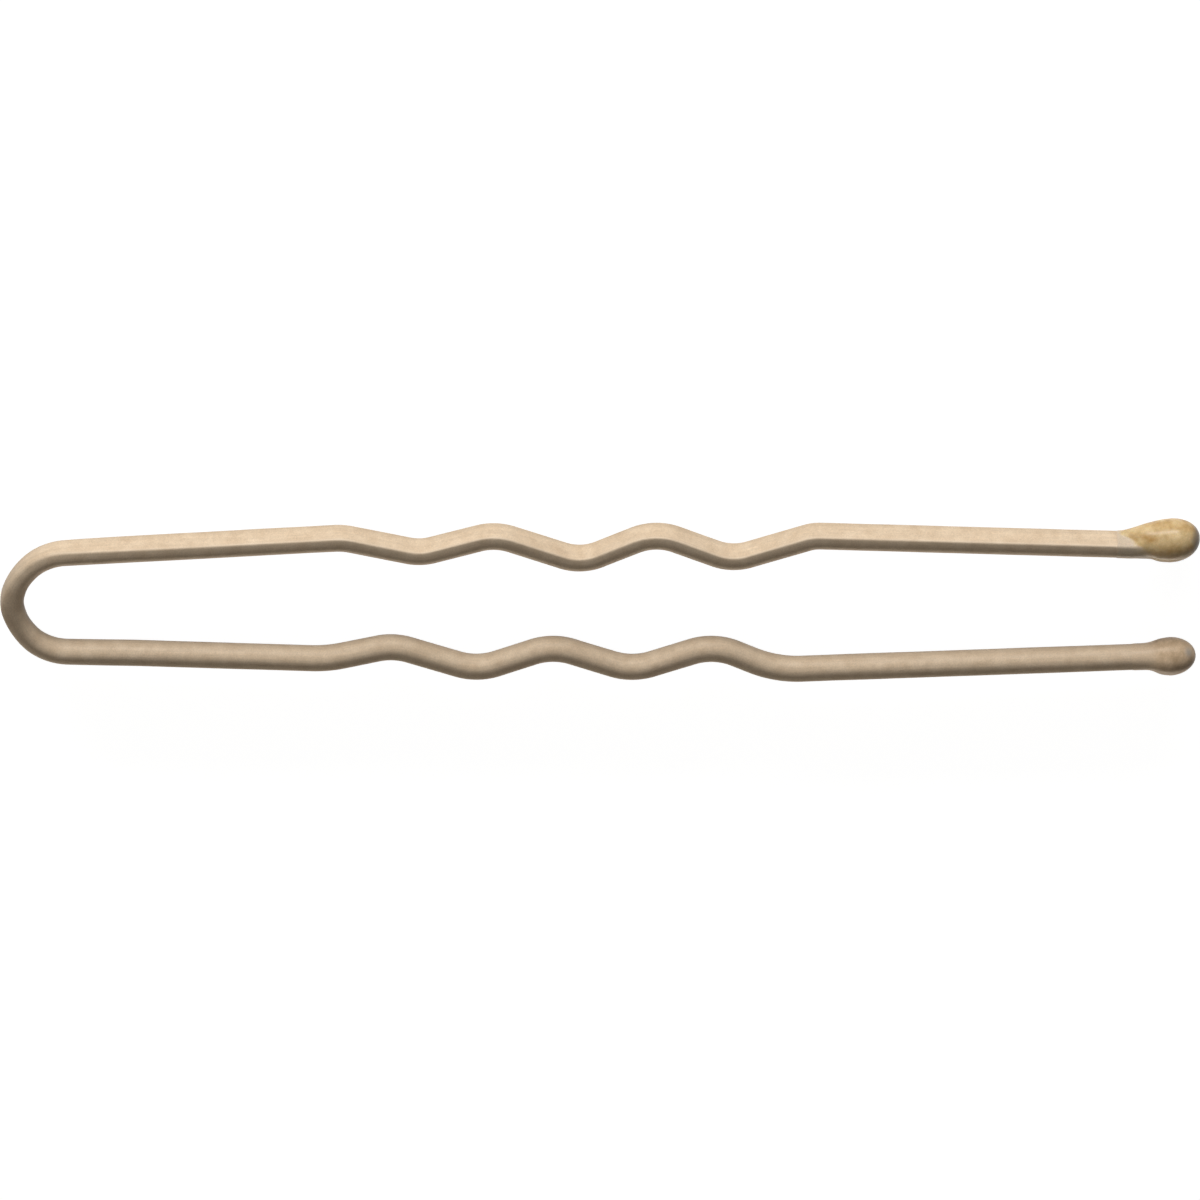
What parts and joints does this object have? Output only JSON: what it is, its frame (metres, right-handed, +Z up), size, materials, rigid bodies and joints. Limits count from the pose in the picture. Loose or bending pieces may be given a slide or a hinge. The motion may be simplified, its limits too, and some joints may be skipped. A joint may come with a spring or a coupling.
{
  "type": "waved hairpin",
  "caption": "U-shaped waved hairpin of flat-sided sprung wire with a tan baked enamel and a resin drop on each tip.",
  "frame": {"origin": "under the middle of the pin's box, on the surface that the pin lies on", "axes": "+X runs from the crown to the tips, +Y to the picture's upper leg, +Z up out of the plane of the pin"},
  "size_m": [0.065, 0.0104, 0.0024],
  "materials": {
    "steel": "drawn spring wire",
    "enamel": "baked tan enamel, semi-matt, faint lengthwise drawing lines",
    "amber_resin": "translucent amber resin, glossy",
    "tan_resin": "tan resin, semi-matt and mottled"
  },
  "bodies": {
    "crown": {"crown_wire": "steel", "crown_coat": "enamel"},
    "upper_leg": {"upper_leg_wire": "steel", "upper_leg_coat": "enamel", "upper_tip_drop": "amber_resin"},
    "lower_leg": {"lower_leg_wire": "steel", "lower_leg_coat": "enamel", "lower_tip_drop": "tan_resin"}
  },
  "joints": [
    {"name": "upper_leg_flex", "type": "hinge", "parent": "crown", "child": "upper_leg", "pos_m": [-0.0245, 0.00347, 0.00139], "axis": [0, 0, 1], "range_deg": [-2.7, 6], "stiffness_Nm_per_rad": 0.72, "deforming": ["crown_wire", "crown_coat"]},
    {"name": "lower_leg_flex", "type": "hinge", "parent": "crown", "child": "lower_leg", "pos_m": [-0.0245, -0.00355, 0.00139], "axis": [0, 0, -1], "range_deg": [-2.7, 6], "stiffness_Nm_per_rad": 0.72, "deforming": ["crown_wire", "crown_coat"]}
  ]
}
